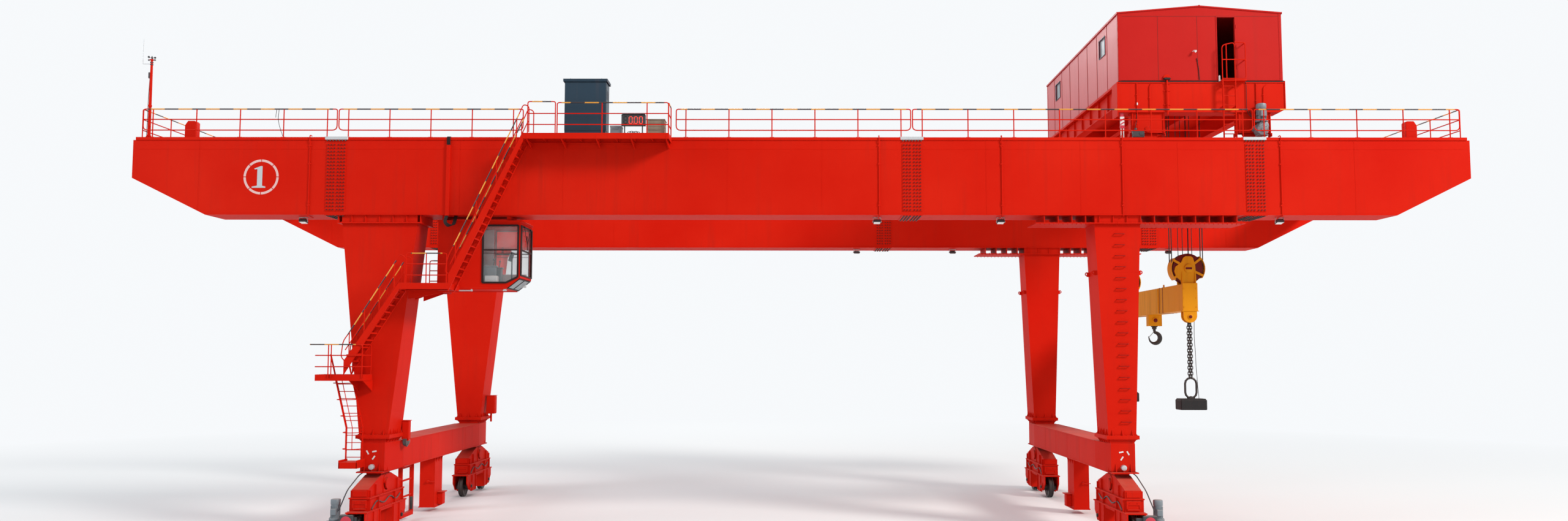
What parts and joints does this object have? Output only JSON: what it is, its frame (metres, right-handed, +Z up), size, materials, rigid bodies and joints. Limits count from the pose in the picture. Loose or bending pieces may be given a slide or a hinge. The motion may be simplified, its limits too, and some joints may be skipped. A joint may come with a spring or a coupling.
{
  "type": "rail-mounted double-girder gantry crane, half-size model",
  "caption": "Red gantry crane on rails: two box girders on tapered legs, a roofed trolley house, a hung cab with stairs, and a yellow lifting beam with hook.",
  "frame": {"origin": "under the middle of the girders, at the bottom of the travel wheels' flanges", "axes": "+X along the girders towards the trolley's end, +Y from the front girder to the rear one, +Z up"},
  "size_m": [22, 7.11, 8.843],
  "materials": {
    "red_paint": "semi-gloss, sun-faded and dusty",
    "yellow_paint": "worn semi-gloss",
    "grey_paint": "dusty satin",
    "blue_grey_paint": "semi-gloss",
    "bare_steel": "rolled and rusty",
    "dark_steel": "dark, oiled",
    "rope_steel": "greased strands",
    "glazing": "clear, faintly tinted",
    "seat_trim": "matt",
    "zinc_grey": "satin"
  },
  "bodies": {
    "gantry": {"front_girder": "red_paint", "rear_girder": "red_paint", "left_end_platform": "red_paint", "right_end_platform": "red_paint", "left_front_leg": "red_paint", "left_rear_leg": "red_paint", "right_front_leg": "red_paint", "right_rear_leg": "red_paint", "leg_saddles": "red_paint", "left_sill_beam": "red_paint", "right_sill_beam": "red_paint", "left_front_bogie": "red_paint", "left_rear_bogie": "red_paint", "right_front_bogie": "red_paint", "right_rear_bogie": "red_paint", "travel_drives": "grey_paint", "anchor_columns": "red_paint", "cable_guide_frame": "red_paint", "cab_shell": "red_paint", "cab_glass": "glazing", "cab_seat": "seat_trim", "cab_landing": "red_paint", "lower_flight": "red_paint", "upper_flight": "red_paint", "lower_platform": "red_paint", "caged_ladder": "red_paint", "service_platform": "red_paint", "electrical_cabinet": "blue_grey_paint", "load_display": "seat_trim", "front_railing": "red_paint", "rear_railing": "red_paint", "trolley_rails": "bare_steel", "mast": "red_paint", "floodlights": "zinc_grey"},
    "anemometer": {"anemometer_cups": "zinc_grey"},
    "trolley": {"front_end_carriage": "red_paint", "rear_end_carriage": "red_paint", "trolley_floor": "red_paint", "house_front_wall": "red_paint", "house_rear_wall": "red_paint", "house_left_wall": "red_paint", "house_right_wall": "red_paint", "house_roof": "red_paint", "house_windows": "glazing", "trolley_ladder": "red_paint", "trolley_drives": "grey_paint", "hoist_drum": "grey_paint", "hoist_ropes": "rope_steel"},
    "lifting_gear": {"sheave_blocks": "yellow_paint", "lifting_beam": "yellow_paint", "load_hook": "dark_steel", "end_chains": "dark_steel"},
    "travel_wheel_left_front_1": {"wheel_left_front_1": "dark_steel"},
    "travel_wheel_left_front_2": {"wheel_left_front_2": "dark_steel"},
    "travel_wheel_left_rear_1": {"wheel_left_rear_1": "dark_steel"},
    "travel_wheel_left_rear_2": {"wheel_left_rear_2": "dark_steel"},
    "travel_wheel_right_front_1": {"wheel_right_front_1": "dark_steel"},
    "travel_wheel_right_front_2": {"wheel_right_front_2": "dark_steel"},
    "travel_wheel_right_rear_1": {"wheel_right_rear_1": "dark_steel"},
    "travel_wheel_right_rear_2": {"wheel_right_rear_2": "dark_steel"}
  },
  "joints": [
    {"name": "trolley_travel", "type": "slide", "parent": "gantry", "child": "trolley", "axis": [1, 0, 0], "range_m": [-15.8, 2.2]},
    {"name": "hoist", "type": "slide", "parent": "trolley", "child": "lifting_gear", "axis": [0, 0, 1], "range_m": [-1.9, 2], "deforming": ["hoist_ropes"]},
    {"name": "anemometer_spin", "type": "hinge", "parent": "gantry", "child": "anemometer", "pos_m": [-10.835, -2.78, 7.8483], "axis": [0, 0, 1], "continuous": true},
    {"name": "travel_wheel_left_front_1_spin", "type": "hinge", "parent": "gantry", "child": "travel_wheel_left_front_1", "pos_m": [-6.91, -3.33, 0.212], "axis": [1, 0, 0], "continuous": true},
    {"name": "travel_wheel_left_front_2_spin", "type": "hinge", "parent": "gantry", "child": "travel_wheel_left_front_2", "pos_m": [-6.91, -2.02, 0.212], "axis": [1, 0, 0], "continuous": true},
    {"name": "travel_wheel_left_rear_1_spin", "type": "hinge", "parent": "gantry", "child": "travel_wheel_left_rear_1", "pos_m": [-6.91, 2.02, 0.212], "axis": [1, 0, 0], "continuous": true},
    {"name": "travel_wheel_left_rear_2_spin", "type": "hinge", "parent": "gantry", "child": "travel_wheel_left_rear_2", "pos_m": [-6.91, 3.33, 0.212], "axis": [1, 0, 0], "continuous": true},
    {"name": "travel_wheel_right_front_1_spin", "type": "hinge", "parent": "gantry", "child": "travel_wheel_right_front_1", "pos_m": [5.2, -3.33, 0.212], "axis": [1, 0, 0], "continuous": true},
    {"name": "travel_wheel_right_front_2_spin", "type": "hinge", "parent": "gantry", "child": "travel_wheel_right_front_2", "pos_m": [5.2, -2.02, 0.212], "axis": [1, 0, 0], "continuous": true},
    {"name": "travel_wheel_right_rear_1_spin", "type": "hinge", "parent": "gantry", "child": "travel_wheel_right_rear_1", "pos_m": [5.2, 2.02, 0.212], "axis": [1, 0, 0], "continuous": true},
    {"name": "travel_wheel_right_rear_2_spin", "type": "hinge", "parent": "gantry", "child": "travel_wheel_right_rear_2", "pos_m": [5.2, 3.33, 0.212], "axis": [1, 0, 0], "continuous": true}
  ]
}
